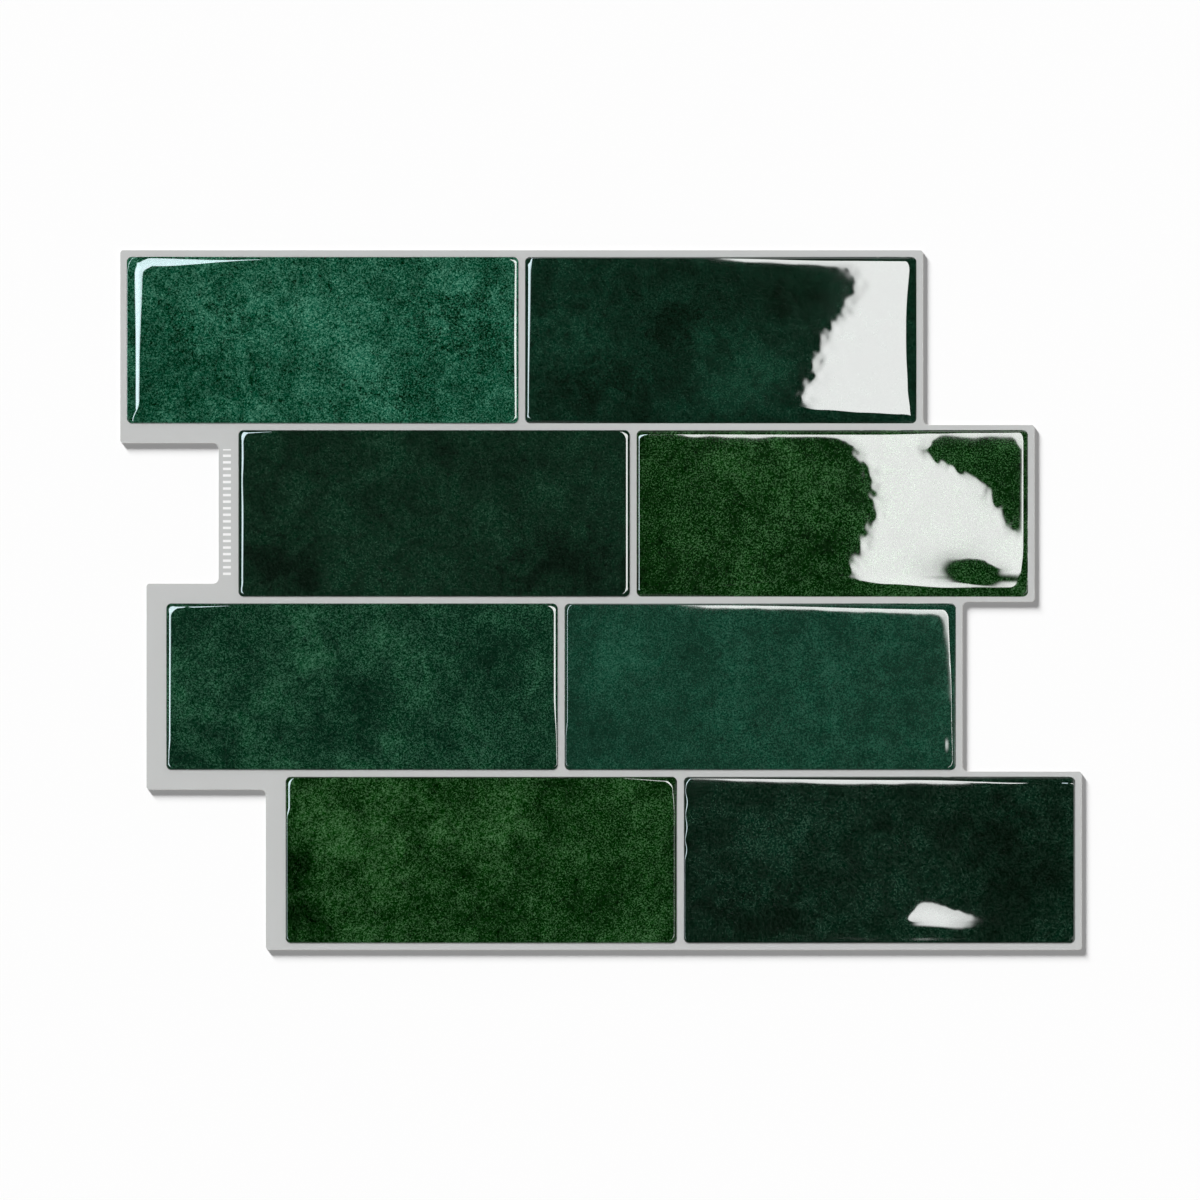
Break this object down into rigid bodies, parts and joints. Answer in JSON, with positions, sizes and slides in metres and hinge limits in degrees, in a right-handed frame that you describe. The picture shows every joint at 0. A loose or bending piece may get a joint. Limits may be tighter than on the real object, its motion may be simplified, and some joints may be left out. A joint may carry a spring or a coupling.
{
  "type": "peel and stick backsplash tile",
  "caption": "Stepped self-adhesive sheet of domed glossy green gel tiles in staggered rows on grey grout-line film, with a release liner on its back.",
  "frame": {"origin": "centre of the stored sheet's rectangular footprint, at the underside of its release liner", "axes": "+X along the tiles towards the right ends of the rows, +Y from the fourth row towards the first row, +Z out of the tile faces"},
  "size_m": [0.2932, 0.2134, 0.002],
  "materials": {
    "liner_paper": "satin",
    "grout_film": "satin",
    "teal_green_gel": "gloss",
    "deep_green_gel": "gloss",
    "leaf_green_gel": "gloss",
    "forest_green_gel": "gloss"
  },
  "bodies": {
    "root": {"release_liner": "liner_paper", "backing_film": "grout_film", "first_row_left_tile": "teal_green_gel", "first_row_right_tile": "deep_green_gel", "second_row_left_tile": "deep_green_gel", "second_row_right_tile": "leaf_green_gel", "third_row_left_tile": "forest_green_gel", "third_row_right_tile": "forest_green_gel", "fourth_row_left_tile": "leaf_green_gel", "fourth_row_right_tile": "deep_green_gel"}
  },
  "joints": []
}
